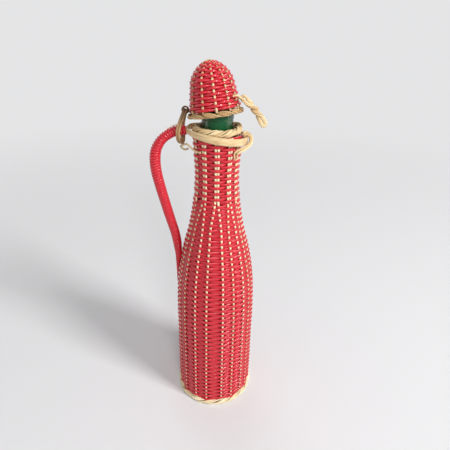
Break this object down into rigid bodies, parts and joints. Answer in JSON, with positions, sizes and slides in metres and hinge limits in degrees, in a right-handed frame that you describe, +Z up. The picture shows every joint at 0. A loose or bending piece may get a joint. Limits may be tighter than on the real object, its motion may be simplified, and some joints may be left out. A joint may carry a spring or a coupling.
{
  "type": "wicker-covered bottle",
  "caption": "Green glass bottle in a woven red cord and cane cover, with a corded side handle and a hinged wicker cap that a cane latch holds down.",
  "frame": {"origin": "on the bottle's axis at the underside of the base mat, where the bottle stands", "axes": "+Z up along the bottle, +X towards the latch with the handle on -X, -Y the side shown in the picture"},
  "size_m": [0.1, 0.0818, 0.3485],
  "materials": {
    "glass": "dark green bottle glass, smooth and glossy",
    "red_cord": "glossy red vinyl-like cord",
    "cane": "pale split cane, satin",
    "cork": "natural cork, matt"
  },
  "bodies": {
    "bottle": {"glass_bottle": "glass", "base_mat": "cane", "base_border": "cane", "body_weave": "red_cord", "neck_weave": "red_cord", "neck_rim": "cane", "neck_band": "cane", "catch_loop": "cane", "handle_core": "cane", "handle_wrap": "red_cord", "hinge_loop": "cane", "hinge_tail": "cane", "handle_thread": "cane", "stake_01": "cane", "stake_02": "cane", "stake_03": "cane", "stake_04": "cane", "stake_05": "cane", "stake_06": "cane", "stake_07": "cane", "stake_08": "cane", "stake_09": "cane", "stake_10": "cane", "stake_11": "cane", "stake_12": "cane", "stake_13": "cane", "stake_14": "cane", "stake_15": "cane", "stake_16": "cane", "stake_17": "cane", "stake_18": "cane", "stake_19": "cane", "stake_20": "cane", "stake_21": "cane", "stake_22": "cane"},
    "cork": {"cork_stopper": "cork"},
    "cap": {"cap_weave": "red_cord", "cap_rim": "cane", "cap_eye": "cane", "latch_staple": "cane", "cap_stake_01": "cane", "cap_stake_02": "cane", "cap_stake_03": "cane", "cap_stake_04": "cane", "cap_stake_05": "cane", "cap_stake_06": "cane", "cap_stake_07": "cane", "cap_stake_08": "cane", "cap_stake_09": "cane", "cap_stake_10": "cane", "cap_stake_11": "cane"},
    "latch": {"latch_loop": "cane"}
  },
  "joints": [
    {"name": "cork_pull", "type": "slide", "parent": "bottle", "child": "cork", "axis": [0, 0, 1], "range_m": [0, 0.013]},
    {"name": "cap_hinge", "type": "hinge", "parent": "bottle", "child": "cap", "pos_m": [-0.02636, 0, 0.3097], "axis": [0, -1, 0], "range_deg": [-8.3, 95]},
    {"name": "latch_hinge", "type": "hinge", "parent": "cap", "child": "latch", "pos_m": [0.02058, -0.008, 0.32099], "axis": [0, -1, 0], "range_deg": [0, 110]}
  ]
}
